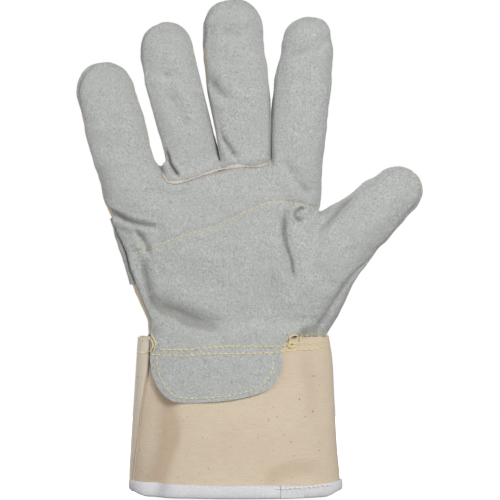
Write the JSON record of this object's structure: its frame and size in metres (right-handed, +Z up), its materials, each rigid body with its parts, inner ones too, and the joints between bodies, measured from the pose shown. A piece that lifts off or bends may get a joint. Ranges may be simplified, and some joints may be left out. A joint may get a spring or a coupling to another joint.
{
  "type": "work glove",
  "caption": "Right-hand safety-cuff work glove: split-leather palm and thumb, canvas back and stiff canvas cuff, with fingers that bend.",
  "frame": {"origin": "centre of the glove's footprint, on the surface that the open cuff mouth stands on", "axes": "+Z up towards the fingertips, -Y the way the palm faces, +X towards the thumb"},
  "size_m": [0.1899, 0.0556, 0.2746],
  "materials": {
    "split_leather": "pale grey split leather with a short mottled nap",
    "canvas": "natural cream cotton canvas, plain weave with brown seed flecks",
    "cotton_lining": "soft unbleached cotton",
    "sewing_thread": "pale yellow twisted sewing thread",
    "binding_tape": "white cotton binding tape",
    "welt": "pinkish-beige split-leather welt",
    "elastic": "woven elastic tape"
  },
  "bodies": {
    "hand": {"palm_panel": "split_leather", "ring_front_base": "split_leather", "middle_front_base": "split_leather", "finger_seam_welt": "welt", "thumb_front_base": "split_leather", "thumb_back_base": "split_leather", "hand_back": "canvas", "index_back_base": "split_leather", "knuckle_strap": "split_leather", "palm_lining": "cotton_lining", "wrist_elastic": "elastic", "cuff_front": "canvas", "cuff_back": "canvas", "cuff_lining": "cotton_lining", "cuff_binding": "binding_tape", "palm_line_thread": "sewing_thread", "tongue_thread": "sewing_thread", "cuff_seam_upper_thread": "sewing_thread", "cuff_seam_lower_thread": "sewing_thread", "strap_thread_lower": "sewing_thread", "strap_thread_upper": "sewing_thread"},
    "little_lower": {"little_lower_front": "split_leather", "little_lower_back": "canvas", "little_knuckle_flex": "split_leather"},
    "little_upper": {"little_upper_front": "split_leather", "little_upper_back": "canvas", "little_middle_flex": "split_leather", "little_fingertip_cap": "split_leather"},
    "ring_lower": {"ring_lower_front": "split_leather", "ring_lower_back": "canvas", "ring_knuckle_flex": "split_leather"},
    "ring_upper": {"ring_upper_front": "split_leather", "ring_upper_back": "canvas", "ring_middle_flex": "split_leather", "ring_fingertip_cap": "split_leather"},
    "middle_lower": {"middle_lower_front": "split_leather", "middle_lower_back": "canvas", "middle_knuckle_flex": "split_leather"},
    "middle_upper": {"middle_upper_front": "split_leather", "middle_upper_back": "canvas", "middle_middle_flex": "split_leather", "middle_fingertip_cap": "split_leather"},
    "index_lower": {"index_lower_front": "split_leather", "index_lower_back": "split_leather", "index_knuckle_flex": "split_leather"},
    "index_upper": {"index_upper_front": "split_leather", "index_upper_back": "split_leather", "index_middle_flex": "split_leather"},
    "thumb_lower": {"thumb_lower_front": "split_leather", "thumb_lower_back": "split_leather", "thumb_knuckle_flex": "split_leather"},
    "thumb_upper": {"thumb_upper_front": "split_leather", "thumb_upper_back": "split_leather", "thumb_middle_flex": "split_leather"}
  },
  "joints": [
    {"name": "little_knuckle", "type": "hinge", "parent": "hand", "child": "little_lower", "pos_m": [-0.07071, -0.0035, 0.19355], "axis": [0.9681, 0, 0.2504], "range_deg": [0, 80], "stiffness_Nm_per_rad": 0.05, "deforming": ["little_knuckle_flex"]},
    {"name": "little_middle_joint", "type": "hinge", "parent": "little_lower", "child": "little_upper", "pos_m": [-0.07621, -0.0035, 0.21485], "axis": [0.9681, 0, 0.2504], "range_deg": [0, 85], "stiffness_Nm_per_rad": 0.05, "deforming": ["little_middle_flex"]},
    {"name": "ring_knuckle", "type": "hinge", "parent": "hand", "child": "ring_lower", "pos_m": [-0.03665, -0.0035, 0.19464], "axis": [0.9763, 0, 0.2164], "range_deg": [0, 75], "stiffness_Nm_per_rad": 0.05, "deforming": ["ring_knuckle_flex"]},
    {"name": "ring_middle_joint", "type": "hinge", "parent": "ring_lower", "child": "ring_upper", "pos_m": [-0.04465, -0.0035, 0.23077], "axis": [0.9763, 0, 0.2164], "range_deg": [0, 85], "stiffness_Nm_per_rad": 0.05, "deforming": ["ring_middle_flex"]},
    {"name": "middle_knuckle", "type": "hinge", "parent": "hand", "child": "middle_lower", "pos_m": [-0.00513, -0.0035, 0.19793], "axis": [0.9959, 0, 0.0906], "range_deg": [0, 75], "stiffness_Nm_per_rad": 0.05, "deforming": ["middle_knuckle_flex"]},
    {"name": "middle_middle_joint", "type": "hinge", "parent": "middle_lower", "child": "middle_upper", "pos_m": [-0.00885, -0.0035, 0.23876], "axis": [0.9959, 0, 0.0906], "range_deg": [0, 85], "stiffness_Nm_per_rad": 0.05, "deforming": ["middle_middle_flex"]},
    {"name": "index_knuckle", "type": "hinge", "parent": "hand", "child": "index_lower", "pos_m": [0.02724, -0.0035, 0.19794], "axis": [0.9968, 0, -0.0802], "range_deg": [0, 80], "stiffness_Nm_per_rad": 0.05, "deforming": ["index_knuckle_flex"]},
    {"name": "index_middle_joint", "type": "hinge", "parent": "index_lower", "child": "index_upper", "pos_m": [0.03005, -0.0035, 0.23283], "axis": [0.9968, 0, -0.0802], "range_deg": [0, 90], "stiffness_Nm_per_rad": 0.05, "deforming": ["index_middle_flex"]},
    {"name": "thumb_base_joint", "type": "hinge", "parent": "hand", "child": "thumb_lower", "pos_m": [0.0557, -0.005, 0.14487], "axis": [0.6947, 0, -0.7193], "range_deg": [0, 60], "stiffness_Nm_per_rad": 0.05, "deforming": ["thumb_knuckle_flex"]},
    {"name": "thumb_tip_joint", "type": "hinge", "parent": "thumb_lower", "child": "thumb_upper", "pos_m": [0.07224, -0.005, 0.16085], "axis": [0.6947, 0, -0.7193], "range_deg": [0, 65], "stiffness_Nm_per_rad": 0.05, "deforming": ["thumb_middle_flex"]}
  ]
}
